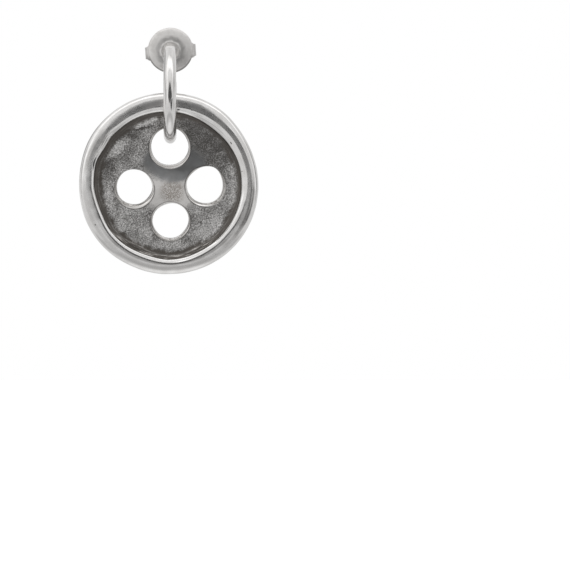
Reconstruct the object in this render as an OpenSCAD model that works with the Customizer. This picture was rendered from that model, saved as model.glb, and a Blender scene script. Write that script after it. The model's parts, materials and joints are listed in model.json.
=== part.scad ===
// Dangle earring: an open hoop with a soldered ear post, a push-on ear nut
// and a large cast button that hangs on the hoop by its top hole.
// The origin lies on the post's axis where the ear lobe sits. The earring
// faces -Y, the post points back along +Y, and +Z is up.

/* [Ear post] */
// Diameter of the post
post_d = 0.9; // [0.7:0.05:1.1]
// How far the post's rounded end lies behind the lobe
post_end_y = 9.1; // [8.6:0.1:12]
// How far the hoop's blunt end lies in front of the lobe
post_front = 1.1; // [1:0.1:1.5]

/* [Hoop] */
// Radius of the wire's centreline in the round stretches
hoop_r = 7.95; // [7.5:0.05:8.5]
// Straight stretch between the upper and the lower curve
hoop_straight = 0.9; // [0.3:0.1:1.5]
// Thickness of the wire from side to side
wire_w = 2.55; // [2.2:0.05:2.9]
// Thickness of the wire across the hoop
wire_t = 3.1; // [3:0.05:3.4]

/* [Button] */
// Outer radius of the rim
button_r = 18.3; // [17.5:0.1:19]
// Diameter of the rim's rounded bead
bead_d = 3.5; // [3.2:0.1:3.8]
// Thickness of the plate at its centre
plate_t = 1.8; // [1.6:0.1:2.4]
// Radius of each hole
hole_r = 3.68; // [3.4:0.02:3.8]
// How far the button leans, with its top to the front
button_lean = 7; // [0:1:8]
// Room between the top hole and the wire that it hangs on
hang_gap = 0.18; // [0.16:0.02:0.3]

/* [Ear nut] */
// Diameter of the nut's disc
disc_d = 9; // [8.5:0.1:9.4]
// Thickness of the sheet metal
sheet_t = 0.3; // [0.25:0.01:0.35]
// Width of the strip that is curled into the two scrolls
strip_w = 2.9; // [2.4:0.1:3.2]
// Distance from the post's axis to the outside of each scroll
scroll_reach = 5.1; // [5:0.05:5.3]

/* [Hidden] */
round_fn = 96;
hull_fn = 32;
eps = 0.01;
slice_inset = 0.02;
slice_turn = 2;
silver = [0.83, 0.83, 0.82];
oxidised = [0.42, 0.41, 0.40];

// The hoop lies in the YZ plane, and its places are given as [y, z].
wire_inner_r = hoop_r - wire_t / 2;
wire_outer_r = hoop_r + wire_t / 2;
hoop_top_z = 0.85;
hoop_y = -3.74;
upper_z = hoop_top_z - wire_outer_r;
lower_z = upper_z - hoop_straight;
wire_end_angle = -10;

// The nose is the wire's blunt end, which narrows to the soldered post.
nose_r = 0.78;
nose_y = -post_front - nose_r;
nose_lift = 0.04;

// The free end is swollen: one round on the outside and one on the inside.
swell_r = 1.3;
swell_outer = [4.15, -6.5];
swell_inner = [2.65, -7.1];

// A shallow groove near the post's end, where the nut's scrolls snap in.
groove_y = 6.05;
groove_l = 0.25;
groove_depth = 0.06;
tip_r = 0.25;

// The button's own frame has its axis along z and its face on +z.
// Each hole: name, x and y of its centre from the rim's centre.
holes = [
    ["top", 0.30, 7.65],
    ["right", 7.30, -0.10],
    ["bottom", 0.42, -7.25],
    ["left", -6.86, -0.55]
];
top_hole = [holes[0][1], holes[0][2]];
hole_bevel = 0.3;
bead_r = bead_d / 2;
bead_h = 0.05;
shoulder_h = 1.35;
lip_ring_r = 15.1;
lip_r = 0.5;
lip_h = 1.15;
wall_top = [14.66, 1.33];
floor_edge = [13.3, 0.25];
floor_dome_r = 115;
back_h = -plate_t / 2;
hang_distance = wire_inner_r - hang_gap + hole_r;

// The nut: a pressed disc, then two scrolls of the same sheet behind it.
// Each ring of the disc: radius, and how far its front lies behind the lobe.
disc_profile = [
    [0.52, 0.95],
    [0.90, 0.95],
    [1.90, 1.45],
    [2.20, 1.38],
    [2.80, 1.75],
    [3.50, 1.50],
    [disc_d / 2, 1.85]
];
sheet_mid = sheet_t / 2;
scroll_x = scroll_reach - sheet_mid;
root_r = 1.05;
root_y = 1.95;
lobe_r = 1.95;
lobe_y = 4.2;
lobe_turn = 150;
pinch_r = 0.75;
pinch_run = 1.13;

// Turns a shape drawn in the XY plane into the hoop's YZ plane.
module in_hoop_plane() {
    rotate([90, 0, 90]) children();
}

// Section of the wire, at the centreline's radius: an oval of two arcs.
module wire_section() {
    spread = (wire_t - wire_w) / 2;
    for (side = [-1, 1])
        translate([hoop_r + side * spread, 0])
            circle(d = wire_w, $fn = round_fn);
    translate([hoop_r - spread, -wire_w / 2])
        square([2 * spread, wire_w]);
}

// A round stretch of wire about the point [y, z], between two angles
// that are counted from +Y towards +Z.
module wire_arc(centre, from_angle, to_angle) {
    in_hoop_plane()
        translate([centre[0], centre[1], 0])
            rotate([0, 0, from_angle])
                rotate_extrude(angle = to_angle - from_angle, $fn = round_fn)
                    wire_section();
}

// A thin slice just inside the wire, where a hull takes over from it.
module wire_slice(centre, angle) {
    spread = (wire_t - wire_w) / 2;
    in_hoop_plane()
        translate([centre[0], centre[1], 0])
            rotate([90, 0, angle])
                for (side = [-1, 1])
                    translate([hoop_r + side * spread, 0, 0])
                        cylinder(d = wire_w - 2 * slice_inset, h = eps, $fn = hull_fn);
}

// The straight front stretch, which meets both curves face to face.
module wire_straight() {
    translate([0, hoop_y, lower_z])
        linear_extrude(hoop_straight)
            rotate([0, 0, -90])
                mirror([0, 1])
                    wire_section();
}

// The wire narrows to a blunt nose, which the post is soldered into.
module nose() {
    hull() {
        wire_slice([hoop_y, upper_z], 90 + slice_turn);
        translate([0, nose_y, nose_lift])
            sphere(r = nose_r, $fn = hull_fn);
    }
}

// The wire's free end swells and is rounded off.
module swollen_end() {
    hull() {
        wire_slice([hoop_y, lower_z], wire_end_angle - slice_turn);
        for (place = [swell_outer, swell_inner])
            translate([0, place[0], place[1]])
                sphere(r = swell_r, $fn = hull_fn);
    }
}

// The post: a straight pin with a rounded end and a shallow groove.
module post() {
    post_r = post_d / 2;
    rotate([-90, 0, 0])
        rotate_extrude($fn = round_fn)
            difference() {
                union() {
                    translate([0, nose_y])
                        square([post_r, post_end_y - tip_r - nose_y]);
                    translate([0, post_end_y - 2 * tip_r])
                        square([post_r - tip_r, 2 * tip_r]);
                    translate([post_r - tip_r, post_end_y - tip_r])
                        circle(r = tip_r, $fn = round_fn);
                }
                translate([post_r - groove_depth, groove_y])
                    square([post_r, groove_l]);
                translate([-post_r, nose_y - eps])
                    square([post_r, post_end_y - nose_y + 1]);
            }
}

module ear_hoop() {
    color(silver) {
        wire_arc([hoop_y, upper_z], 90, 180);
        wire_straight();
        wire_arc([hoop_y, lower_z], 180, 360 + wire_end_angle);
        nose();
        swollen_end();
        post();
    }
}

// A strip of sheet along an arc, as seen from above.
module sheet_arc(centre, r, from_angle, to_angle) {
    reach = 2 * (r + sheet_t);
    steps = 6;
    step = (to_angle - from_angle) / steps;
    translate(centre)
        intersection() {
            difference() {
                circle(r = r + sheet_mid, $fn = round_fn);
                circle(r = r - sheet_mid, $fn = round_fn);
            }
            polygon([
                [0, 0],
                for (i = [0:steps])
                    reach * [
                        cos(from_angle + i * step),
                        sin(from_angle + i * step)
                    ]
            ]);
        }
}

// A straight strip of sheet from one point along a heading.
module sheet_run(start, heading, length) {
    translate(start)
        rotate([0, 0, heading])
            translate([-eps, -sheet_mid])
                square([length + 2 * eps, sheet_t]);
}

// One scroll, seen from above: it leaves the disc, turns back, rounds its
// lobe, runs in to pinch the post, and tucks its end inside the lobe.
module scroll_outline() {
    root_x = scroll_x - root_r;
    lobe_x = scroll_x - lobe_r;
    lobe_end = [
        lobe_x + lobe_r * cos(lobe_turn),
        lobe_y + lobe_r * sin(lobe_turn)
    ];
    heading = lobe_turn + 90;
    pinch_start = lobe_end + pinch_run * [cos(heading), sin(heading)];
    pinch_centre = pinch_start - pinch_r * [cos(lobe_turn), sin(lobe_turn)];
    sheet_run([root_x - 1, root_y], 0, 1);
    sheet_arc([root_x, root_y + root_r], root_r, -90, 0);
    sheet_run([scroll_x, root_y + root_r], 90, lobe_y - root_y - root_r);
    sheet_arc([lobe_x, lobe_y], lobe_r, 0, lobe_turn);
    sheet_run(lobe_end, heading, pinch_run);
    sheet_arc(pinch_centre, pinch_r, lobe_turn, lobe_turn + 180);
}

// The pressed disc: a sheet ring with a raised boss round its hole.
module nut_disc() {
    count = len(disc_profile);
    front = [for (ring = disc_profile) [ring[0], ring[1]]];
    back = [
        for (i = [count - 1:-1:0])
            [disc_profile[i][0], disc_profile[i][1] + sheet_t]
    ];
    rotate([-90, 0, 0])
        rotate_extrude($fn = round_fn)
            polygon(concat(front, back));
}

module ear_nut() {
    color(silver) {
        nut_disc();
        for (side = [0, 1])
            mirror([side, 0, 0])
                translate([0, 0, -strip_w / 2])
                    linear_extrude(strip_w)
                        scroll_outline();
    }
}

// Half section of the button: radius along x and height of the face along y.
module button_section() {
    dome_y = plate_t / 2 - floor_dome_r;
    bead_x = button_r - bead_r;
    translate([bead_x, bead_h])
        circle(r = bead_r, $fn = round_fn);
    translate([lip_ring_r, lip_h])
        circle(r = lip_r, $fn = round_fn);
    intersection() {
        translate([0, back_h])
            square([bead_x, plate_t]);
        translate([0, dome_y])
            circle(r = floor_dome_r, $fn = 8 * round_fn);
    }
    polygon([
        [floor_edge[0], back_h],
        [bead_x, back_h],
        [bead_x, shoulder_h],
        [lip_ring_r, lip_h + lip_r / 2],
        wall_top,
        floor_edge
    ]);
}

// A sewing hole, bevelled on both faces of the plate.
module sewing_hole() {
    deep = plate_t + 2;
    translate([0, 0, -deep / 2])
        cylinder(r = hole_r, h = deep, $fn = round_fn);
    for (side = [0, 1])
        mirror([0, 0, side])
            translate([0, 0, plate_t / 2 - 2 * hole_bevel])
                cylinder(
                    r1 = hole_r - hole_bevel,
                    r2 = hole_r + 2 * hole_bevel,
                    h = 3 * hole_bevel,
                    $fn = round_fn
                );
}

// Hangs a shape drawn in the button's frame from the hoop's lower curve.
module hang_button() {
    translate([
        0,
        hoop_y + hang_distance * sin(button_lean),
        lower_z - hang_distance * cos(button_lean)
    ])
        rotate([90 + button_lean, 0, 0])
            translate([-top_hole[0], -top_hole[1], 0])
                children();
}

module button_drop() {
    color(oxidised)
        hang_button()
            difference() {
                rotate_extrude($fn = round_fn)
                    button_section();
                for (hole = holes)
                    translate([hole[1], hole[2], 0])
                        sewing_hole();
            }
}

ear_hoop();
ear_nut();
button_drop();
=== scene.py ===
# %% [markdown]
# This lesson gives a dangle earring its looks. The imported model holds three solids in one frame: an open
# hoop with an ear post soldered to it, a push-on nut, and a cast button that hangs on the hoop. They have
# true sizes but plain surfaces. Each is modelled here once more in the same place, with the soft edges,
# uneven lip and worn plating of the real casting.

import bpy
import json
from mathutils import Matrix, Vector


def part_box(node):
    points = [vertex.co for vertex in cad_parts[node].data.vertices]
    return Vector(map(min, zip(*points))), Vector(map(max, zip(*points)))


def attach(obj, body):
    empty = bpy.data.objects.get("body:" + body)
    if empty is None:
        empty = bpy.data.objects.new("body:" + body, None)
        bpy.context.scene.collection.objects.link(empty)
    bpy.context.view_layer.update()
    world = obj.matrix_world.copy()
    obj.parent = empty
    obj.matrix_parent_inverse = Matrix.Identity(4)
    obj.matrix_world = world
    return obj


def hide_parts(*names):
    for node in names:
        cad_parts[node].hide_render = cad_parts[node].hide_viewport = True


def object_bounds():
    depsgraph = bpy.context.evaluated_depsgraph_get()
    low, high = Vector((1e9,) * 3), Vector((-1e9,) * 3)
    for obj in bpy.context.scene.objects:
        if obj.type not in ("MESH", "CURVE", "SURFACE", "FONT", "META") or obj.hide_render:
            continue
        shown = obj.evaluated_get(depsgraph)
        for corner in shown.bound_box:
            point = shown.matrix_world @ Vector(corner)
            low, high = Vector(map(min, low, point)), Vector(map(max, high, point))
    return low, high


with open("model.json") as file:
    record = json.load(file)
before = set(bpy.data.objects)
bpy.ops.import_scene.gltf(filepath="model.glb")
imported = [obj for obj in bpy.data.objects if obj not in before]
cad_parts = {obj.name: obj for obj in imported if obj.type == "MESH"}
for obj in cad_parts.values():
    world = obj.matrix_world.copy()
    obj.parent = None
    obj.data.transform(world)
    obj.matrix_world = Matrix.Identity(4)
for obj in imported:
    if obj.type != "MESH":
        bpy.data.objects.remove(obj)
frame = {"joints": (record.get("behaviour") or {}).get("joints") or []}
cad_low, cad_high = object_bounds()
print("CAD box in metres:", tuple(cad_low), tuple(cad_high))

# %% Units and tools
import json
from math import atan2, cos, degrees, hypot, pi, radians, sin, sqrt

import bpy
from mathutils import Vector

MM = 0.001

# %% [markdown]
# The photograph is level and shows no perspective: the nut, 16 mm behind the front of the hoop, isn't
# shifted at all. So a very long lens stands in for it, from far off. The frame is 570 pixels square, and
# one pixel is 0.2 mm at the earring, which gives the width of the view. The camera is aimed at the middle
# of the frame, so the earring lands up and to the left of it.

# %% The camera
PHOTO_SIDE = 570
MM_PER_PIXEL = 0.2
POST_PIXEL = (170.2, 48.7)
SUBJECT_DEPTH = -2.0
LENS = 800.0
SENSOR = 36.0
FLOOR_ROW = 495

view_side = PHOTO_SIDE * MM_PER_PIXEL
camera_x = (PHOTO_SIDE / 2 - POST_PIXEL[0]) * MM_PER_PIXEL
camera_z = (POST_PIXEL[1] - PHOTO_SIDE / 2) * MM_PER_PIXEL
camera_y = SUBJECT_DEPTH - view_side * LENS / SENSOR
bpy.ops.object.camera_add(
    location=(camera_x * MM, camera_y * MM, camera_z * MM),
    rotation=(pi / 2, 0, 0),
)
camera = bpy.context.object
camera.name = "photo_camera"
camera.data.lens = LENS
camera.data.sensor_width = SENSOR
camera.data.clip_start = 0.01
bpy.context.scene.camera = camera
print("camera stands", round(-camera_y), "mm in front of the earring")

# %% [markdown]
# Mirror metal shows its surroundings, so the studio is most of the finish. The photo was taken in a white
# tent: the metal is pale nearly everywhere, and only what faces the camera shows the dark gap that the
# lens looks through. Fainter gaps at the sides and behind do the same for a turned view, and the far edge
# of the table shows as a darker line low in the rim. A world shader makes the tent from the direction of
# each ray. It could be a picture of a room, but a few smooth masks are enough and need no file. The
# backdrop that the camera sees directly is plain white.

# %% Node helpers
def node(tree, kind, sockets=None, **settings):
    """Adds one shader node. Each socket gets a value, or a link where it is given another node's output."""
    made = tree.nodes.new("ShaderNode" + kind)
    for name, value in settings.items():
        setattr(made, name, value)
    for key, value in (sockets or {}).items():
        if isinstance(value, bpy.types.NodeSocket):
            tree.links.new(value, made.inputs[key])
        else:
            made.inputs[key].default_value = value
    return made


def calc(tree, operation, first, second=0.0):
    """One step of arithmetic on values that change over a surface."""
    return node(tree, "Math", {0: first, 1: second}, operation=operation).outputs[0]


def add(tree, first, second):
    """The sum of two values."""
    return calc(tree, "ADD", first, second)


def times(tree, first, second):
    """The product of two values, such as a mask and its strength."""
    return calc(tree, "MULTIPLY", first, second)


def larger(tree, first, second):
    """The larger of two values, which joins two masks."""
    return calc(tree, "MAXIMUM", first, second)


def ramp(tree, value, low, high, to_low=0.0, to_high=1.0):
    """A smooth step: value at low gives to_low, and value at high gives to_high."""
    made = node(
        tree,
        "MapRange",
        {"Value": value, "From Min": low, "From Max": high, "To Min": to_low, "To Max": to_high},
        interpolation_type="SMOOTHSTEP",
    )
    return made.outputs["Result"]


def blend(tree, factor, colour_a, colour_b):
    """Mixes two colours by a mask."""
    made = node(tree, "Mix", {0: factor, 6: colour_a, 7: colour_b}, data_type="RGBA")
    return made.outputs[2]


def grey(value, warmth=0.0):
    """A near-neutral colour, a little warmer where warmth is above 0."""
    return (value * (1 + warmth), value, value * (1 - warmth), 1.0)


def between(tree, value, start, full, fading, gone):
    """A mask that rises from start to full and falls again from fading to gone."""
    return times(tree, ramp(tree, value, start, full), ramp(tree, value, gone, fading))


# %% The tent
TENT_SIDE = 0.80
TENT_RIGHT = 0.66
TENT_LOW = 0.68
TABLE_EDGE = 0.46
EDGE_BAND = (-0.88, -0.76, -0.68, -0.58)
TABLE_TOP = 0.84
RIGHT_FADE = (0.3, 0.8)
LOW_FADE = (-0.05, -0.45)
TOP_FADE = (-0.86, -0.95)
IN_FRONT = (0.2, -0.2)
OVERHEAD = (0.25, 0.45)
ROOF = {"tone": 1.25, "middle": (0.0, -0.19), "half": (0.85, 0.34), "soft": 0.38}
HANGER = {"tone": 0.70, "middle": (0.0, 0.20), "half": (0.36, 0.50), "soft": 0.50}
FRONT, BACK, RIGHT, LEFT = ("Y", 0.0, -0.4), ("Y", 0.2, 0.5), ("X", 0.4, 0.8), ("X", -0.4, -0.8)
GAPS = [
    {"facing": FRONT, "middle": (0.03, 0.055), "half": (0.42, 0.345), "soft": 0.34, "tone": 0.075},
    {"facing": FRONT, "middle": (0.50, -0.335), "half": (0.25, 0.16), "soft": 0.35, "tone": 0.06},
    {"facing": BACK, "middle": (-0.62, 0.26), "half": (0.26, 0.26), "soft": 0.80, "tone": 0.42},
    {"facing": RIGHT, "middle": (0.02, 0.05), "half": (0.20, 0.34), "soft": 0.80, "tone": 0.30},
    {"facing": LEFT, "middle": (-0.02, 0.02), "half": (0.16, 0.30), "soft": 0.80, "tone": 0.40},
]


def oval_mask(tree, across, upward, middle, half, soft):
    """A mask of directions: 1 inside an oval, given by its middle and its half width and height."""
    across = calc(tree, "DIVIDE", calc(tree, "SUBTRACT", across, middle[0]), half[0])
    upward = calc(tree, "DIVIDE", calc(tree, "SUBTRACT", upward, middle[1]), half[1])
    squares = add(tree, calc(tree, "POWER", across, 2), calc(tree, "POWER", upward, 2))
    return ramp(tree, calc(tree, "SQRT", squares), 1 + soft / 2, 1 - soft / 2)


world = bpy.data.worlds.new("white_tent")
world.use_nodes = True
bpy.context.scene.world = world
tent = world.node_tree
tent.nodes.clear()
ray = node(tent, "TexCoord").outputs["Generated"]
towards = node(tent, "SeparateXYZ", {0: ray}).outputs
tone = blend(tent, ramp(tent, towards["X"], *RIGHT_FADE), grey(TENT_SIDE), grey(TENT_RIGHT))
tone = blend(tent, ramp(tent, towards["Z"], *LOW_FADE), tone, grey(TENT_LOW))
edge = times(tent, between(tent, towards["Z"], *EDGE_BAND), ramp(tent, towards["Y"], *IN_FRONT))
tone = blend(tent, edge, tone, grey(TABLE_EDGE))
tone = blend(tent, ramp(tent, towards["Z"], *TOP_FADE), tone, grey(TABLE_TOP))
above = ramp(tent, towards["Z"], *OVERHEAD)
for light in (ROOF, HANGER):
    mask = oval_mask(tent, towards["X"], towards["Y"], light["middle"], light["half"], light["soft"])
    tone = blend(tent, times(tent, mask, above), tone, grey(light["tone"]))
for gap in GAPS:
    side, none, full = gap["facing"]
    across = towards["X" if side == "Y" else "Y"]
    mask = oval_mask(tent, across, towards["Z"], gap["middle"], gap["half"], gap["soft"])
    mask = times(tent, mask, ramp(tent, towards[side], none, full))
    tone = blend(tent, mask, tone, grey(gap["tone"]))
camera_ray = node(tent, "LightPath").outputs["Is Camera Ray"]
surroundings = blend(tent, camera_ray, tone, grey(1.0))
background = node(tent, "Background", {"Color": surroundings, "Strength": 1.0})
node(tent, "OutputWorld", {"Surface": background.outputs[0]})
bpy.context.scene.view_settings.view_transform = "Standard"
print("world:", world.name)

# %% [markdown]
# Two tall soft boxes draw the bright edges along the hoop and the rim, left and right and a little in
# front, and a third hangs above the earring. All are hidden from the camera's direct sight, as they are
# outside the photo.

# %% Soft boxes
BOXES = {
    "soft_box_left": {"place": (-420, -260, 120), "size": (160, 420), "power": 0.06},
    "soft_box_right": {"place": (460, -200, 60), "size": (160, 420), "power": 0.04},
    "soft_box_top": {"place": (-20, -60, 430), "size": (320, 220), "power": 0.10},
}
aim = (cad_low + cad_high) / 2
for name, box in BOXES.items():
    place = Vector(box["place"]) * MM
    bpy.ops.object.light_add(type="AREA", location=place)
    lamp = bpy.context.object
    lamp.name = name
    lamp.data.shape = "RECTANGLE"
    lamp.data.size = box["size"][0] * MM
    lamp.data.size_y = box["size"][1] * MM
    lamp.data.energy = box["power"]
    lamp.rotation_euler = (aim - place).to_track_quat("-Z", "Y").to_euler()
    lamp.visible_camera = False
print("lights:", ", ".join(BOXES))

# %% [markdown]
# The floor is a wide pale disc, some way under the drop. The photo's floor is blown out to the same white
# as the wall, so it glows white for the camera. The metal doesn't see it: what shines up from below is
# part of the tent, where its tone can be set by direction.

# %% The floor
FLOOR_RADIUS = 3000
floor_z = (POST_PIXEL[1] - FLOOR_ROW) * MM_PER_PIXEL
bpy.ops.mesh.primitive_circle_add(
    vertices=96, radius=FLOOR_RADIUS * MM, fill_type="NGON", location=(0, 0, floor_z * MM)
)
floor = bpy.context.object
floor.name = "floor"
floor.visible_glossy = False
paint = bpy.data.materials.new("floor_paint")
paint.use_nodes = True
floor_shader = paint.node_tree.nodes["Principled BSDF"]
floor_shader.inputs["Base Color"].default_value = grey(0.8)
floor_shader.inputs["Roughness"].default_value = 0.7
floor_shader.inputs["Emission Color"].default_value = grey(1.0)
floor_shader.inputs["Emission Strength"].default_value = 1.0
floor.data.materials.append(paint)
print("floor at", round(floor_z, 1), "mm")

# %% [markdown]
# Every piece starts from a primitive and is shaped in edit mode. These few helpers do what a maker does
# all the time: start clean, pick parts by their place, turn about a point, and apply a modifier. With no
# window Blender turns a selection the other way, so the helper gives the angle's opposite.

# %% Modelling helpers
WELD = 0.002


def start_clean():
    """Leaves edit mode and clears the selection, so that an operator acts on the new piece only."""
    if bpy.context.object and bpy.context.object.mode != "OBJECT":
        leave_edit()
    bpy.ops.object.select_all(action="DESELECT")


def take(piece):
    """Makes this piece the active one, and the only one that is selected."""
    start_clean()
    bpy.context.view_layer.objects.active = piece
    piece.select_set(True)


def edit_all():
    """Opens the active piece for editing, with all of it selected."""
    bpy.ops.object.mode_set(mode="EDIT")
    bpy.ops.mesh.select_all(action="SELECT")


def leave_edit():
    """Goes back from editing to handling whole pieces."""
    bpy.ops.object.mode_set(mode="OBJECT")


def turn(angle, axis="X", centre=(0, 0, 0)):
    """Turns what is selected by the right-hand rule, about a point in metres."""
    bpy.ops.transform.rotate(value=-angle, orient_axis=axis, center_override=centre)


def shift(place):
    """Moves what is selected by a distance in mm."""
    bpy.ops.transform.translate(value=Vector(place) * MM)


def soft_shift(place, reach, connected=False):
    """Moves what is selected by a distance in mm, and what is within reach with it, less and less."""
    bpy.ops.transform.translate(
        value=Vector(place) * MM,
        use_proportional_edit=True,
        use_proportional_connected=connected,
        proportional_edit_falloff="SMOOTH",
        proportional_size=reach * MM,
    )


def choose(piece, test):
    """Selects the vertices whose place, in mm, passes the test. Leaves the piece in edit mode."""
    bpy.ops.object.mode_set(mode="EDIT")
    bpy.ops.mesh.select_mode(type="VERT")
    bpy.ops.mesh.select_all(action="DESELECT")
    leave_edit()
    for vertex in piece.data.vertices:
        vertex.select = not vertex.hide and bool(test(vertex.co / MM))
    bpy.ops.object.mode_set(mode="EDIT")


def apply_modifier(piece, kind, **settings):
    """Adds one modifier, sets it and applies it."""
    take(piece)
    made = piece.modifiers.new(kind.lower(), kind)
    for name, value in settings.items():
        setattr(made, name, value)
    bpy.ops.object.modifier_apply(modifier=made.name)


def close_up(piece):
    """Welds doubled vertices and points every face outwards."""
    take(piece)
    edit_all()
    bpy.ops.mesh.remove_doubles(threshold=WELD * MM)
    bpy.ops.mesh.normals_make_consistent(inside=False)
    leave_edit()


def settle(piece, angle=40):
    """Applies the piece's place and smooths its faces, but for edges sharper than the angle."""
    take(piece)
    bpy.ops.object.transform_apply(location=True, rotation=True, scale=True)
    bpy.ops.object.shade_smooth_by_angle(angle=radians(angle))
    triangles = sum(len(face.vertices) - 2 for face in piece.data.polygons)
    print(piece.name, "has", triangles, "triangles")


def dent(piece, size, depth, level):
    """Makes a surface uneven, with dents of a size and depth in mm. At level 0.5 half are bumps."""
    clouds = bpy.data.textures.new(piece.name + "_dents", "CLOUDS")
    clouds.noise_scale = size * MM
    clouds.noise_depth = 2
    apply_modifier(
        piece, "DISPLACE", texture=clouds, texture_coords="LOCAL", strength=depth * MM, mid_level=level
    )


# %% [markdown]
# The hoop and its post are one soldered piece. On the bench the wire is bent, one end is filed down to the
# thickness of the solder joint, and the other is left as the blunt, slightly swollen end of the casting.
# Here a ring of vertices is drawn along the whole route, from the filed end round the hoop and into the
# free end. A curve with a bevel could do it too, but a ring that is extruded step by step can change its
# width and its thickness separately, and can start with flats that fade into the round wire. The post is
# drawn the same way, and a boolean solders the two into one closed skin.

# %% The route's helper
def station(y, z, heading, wide, thick, aside=0.0, even=0.0):
    """One place of the ring on its route: a centre in the YZ plane, a heading, and the wire's section.

    The ring can also be shifted aside, and evened towards a circle.
    """
    return {"y": y, "z": z, "heading": heading, "wide": wide, "thick": thick, "aside": aside, "even": even}


def draw_tube(name, stations, sides, flats=0.0):
    """Draws a ring along its stations, in mm and radians. The first ring can get four filed flats."""
    start_clean()
    bpy.ops.mesh.primitive_circle_add(vertices=sides, radius=0.5 * MM, fill_type="NGON")
    tube = bpy.context.object
    tube.name = name
    if flats:
        reach = 0.5 - flats
        for x, y in ((1, 0), (-1, 0), (0, 1), (0, -1)):
            choose(tube, lambda p: p.x * x + p.y * y > reach - 0.01)
            squash = (0 if x else 1, 0 if y else 1, 1)
            bpy.ops.transform.resize(value=squash, center_override=(x * reach * MM, y * reach * MM, 0))
        leave_edit()
        mean = sum(vertex.co.length for vertex in tube.data.vertices) / sides
        edit_all()
        grown = 0.5 * MM / mean
        bpy.ops.transform.resize(value=(grown, grown, 1), center_override=(0, 0, 0))
    edit_all()
    before = station(0, 0, pi / 2, 1.0, 1.0)
    for after in stations:
        if after is not stations[0]:
            bpy.ops.mesh.extrude_region_move()
        shift((-before["aside"], -before["y"], -before["z"]))
        turn(pi / 2 - before["heading"])
        round_again = (1 / before["wide"], 1 / before["thick"], 1)
        bpy.ops.transform.resize(value=round_again, center_override=(0, 0, 0))
        if after["even"]:
            bpy.ops.transform.tosphere(value=after["even"], center_override=(0, 0, 0))
        bpy.ops.transform.resize(value=(after["wide"], after["thick"], 1), center_override=(0, 0, 0))
        turn(after["heading"] - pi / 2)
        shift((after["aside"], after["y"], after["z"]))
        before = after
    leave_edit()
    return tube


# %% The hoop's measures
wire_low, wire_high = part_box("ear_hoop")
WIRE_WIDTH = (wire_high.x - wire_low.x) / MM
WIRE_THICK = 3.10
INSIDE_CAD = 0.02
POST_THICK = 0.9
GROOVE_THICK = 0.78
POST_FRONT = -1.1
STRAIGHT = 0.9
hoop_top = wire_high.z / MM - INSIDE_CAD
hoop_low = wire_low.z / MM + INSIDE_CAD
outer_radius = (hoop_top - hoop_low - STRAIGHT) / 2
hoop_y = wire_low.y / MM + INSIDE_CAD + outer_radius
upper_z = hoop_top - outer_radius
lower_z = hoop_low + outer_radius
post_tip = wire_high.y / MM - INSIDE_CAD / 2
print("hoop is", round(2 * outer_radius, 2), "mm from front to back; post ends at", round(post_tip, 2))

# %% The post
BACKWARD = pi
GROOVE_BACK = 6.3
GROOVE_FRONT = 6.05
SOLDER = ((0.34, 0.90), (0.17, 0.95), (0.07, 1.06), (0.0, 1.24), (-0.08, 1.36), (-0.6, 1.30))
TIP = ((0.0, 0.34), (0.04, 0.58), (0.12, 0.76), (0.24, 0.87), (0.42, 0.90))
route = [(post_tip - back, thick) for back, thick in TIP]
route += [(GROOVE_BACK + 0.02, POST_THICK), (GROOVE_BACK - 0.04, GROOVE_THICK)]
route += [(GROOVE_FRONT + 0.04, GROOVE_THICK), (GROOVE_FRONT - 0.02, POST_THICK)]
route += [(3.2, POST_THICK), (0.4, POST_THICK)]
route += [(POST_FRONT + back, thick) for back, thick in SOLDER]
post = draw_tube("post", [station(y, 0, BACKWARD, thick, thick) for y, thick in route], sides=32)
close_up(post)
apply_modifier(post, "SUBSURF", levels=1, render_levels=1)

# %% The filed nose
NOSE_STEPS = 14
NOSE_LENGTH = POST_FRONT - hoop_y
NOSE_WIDE = 2.28
NOSE_THICK = 2.06
NOSE_ASIDE = -0.29
NOSE_ROUND = 0.45
stations = []
for step in range(NOSE_STEPS + 1):
    share = (step / NOSE_STEPS) ** 1.5
    run = share * NOSE_LENGTH
    ease = 1 - (1 - share) ** 1.7
    edge = min(1.0, run / NOSE_ROUND)
    corner = 0.72 + 0.28 * sqrt(1 - (1 - edge) ** 2)
    thick = (NOSE_THICK + (WIRE_THICK - NOSE_THICK) * ease) * corner
    wide = (NOSE_WIDE + (WIRE_WIDTH - NOSE_WIDE) * ease) * corner
    middle = (hoop_top - WIRE_THICK / 2) * ease
    even = 0.04 if share > 0.15 else 0.0
    stations.append(
        station(POST_FRONT - run, middle, BACKWARD, wide, thick, NOSE_ASIDE * (1 - ease), even)
    )

# %% The round of the hoop and its swollen end
ARC_STEP = 3
SWELL = {145: 1.00, 155: 1.03, 163: 1.08, 170: 1.15, 177: 1.22, 184: 1.28, 190: 1.31, 196: 1.33, 200: 1.34}
END_TURNED = 211.0
END_SWELL = 1.35
END_LENGTH = 1.5
END_POWER = 2.5


def hoop_station(turned, swell=1.0, left=1.0, even=0.0):
    """A station on the hoop. turned is the angle from the front, downwards; the outside stays round."""
    thick = WIRE_THICK * swell * left
    wide = WIRE_WIDTH * left
    angle = pi + radians(turned)
    radius = outer_radius - WIRE_THICK * swell / 2
    centre_z = upper_z if turned < 0 else lower_z
    place = (hoop_y + radius * cos(angle), centre_z + radius * sin(angle))
    return station(place[0], place[1], angle + pi / 2, wide, thick, even=even)


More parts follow.
